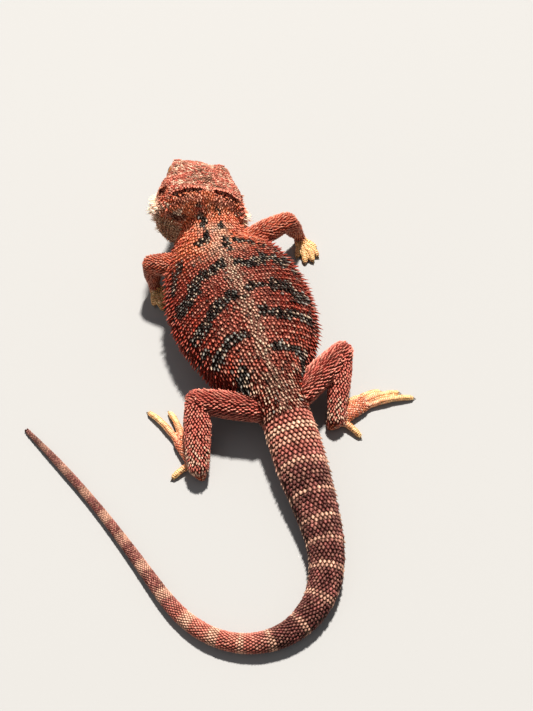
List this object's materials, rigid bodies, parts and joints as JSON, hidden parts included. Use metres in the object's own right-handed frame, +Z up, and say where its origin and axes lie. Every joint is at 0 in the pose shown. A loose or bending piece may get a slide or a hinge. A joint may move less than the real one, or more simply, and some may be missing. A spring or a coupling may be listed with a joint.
{
  "type": "bearded dragon, still model of a young animal",
  "caption": "Life-size still model of a young red bearded dragon lying on its belly, head raised and turned, legs bent, tail curled forward.",
  "frame": {"origin": "centre of the bounding box's bottom, on the floor that the belly, feet and tail rest on", "axes": "+Z up, the animal faces -Y, and its left side is towards +X"},
  "size_m": [0.0756, 0.1068, 0.0219],
  "materials": {
    "skin": "dry, rough, scaly skin in brick red with dark grey blotches and pale spine tips",
    "skin_tail": "dry keeled scales in mauve brown with cream bands",
    "skin_pale": "small ringed scales in ivory yellow, slightly satin",
    "beard": "dry pointed scales in cream and greyish brown",
    "claw": "smooth dark horn, satin",
    "eye": "wet and glossy, dark pupil in a brown iris"
  },
  "bodies": {
    "root": {"eye_left": "eye", "eye_right": "eye", "foot_left": "skin_pale", "foot_right": "skin_pale", "forearm_left": "skin", "forearm_right": "skin", "hand_left": "skin_pale", "hand_right": "skin_pale", "head": "skin", "lower_jaw": "beard", "neck": "skin", "shin_left": "skin", "shin_right": "skin", "tail_1": "skin_tail", "tail_2": "skin_tail", "tail_3": "skin_tail", "tail_4": "skin_tail", "tail_5": "skin_tail", "thigh_left": "skin", "thigh_right": "skin", "torso": "skin", "upper_arm_left": "skin", "upper_arm_right": "skin"}
  },
  "joints": []
}
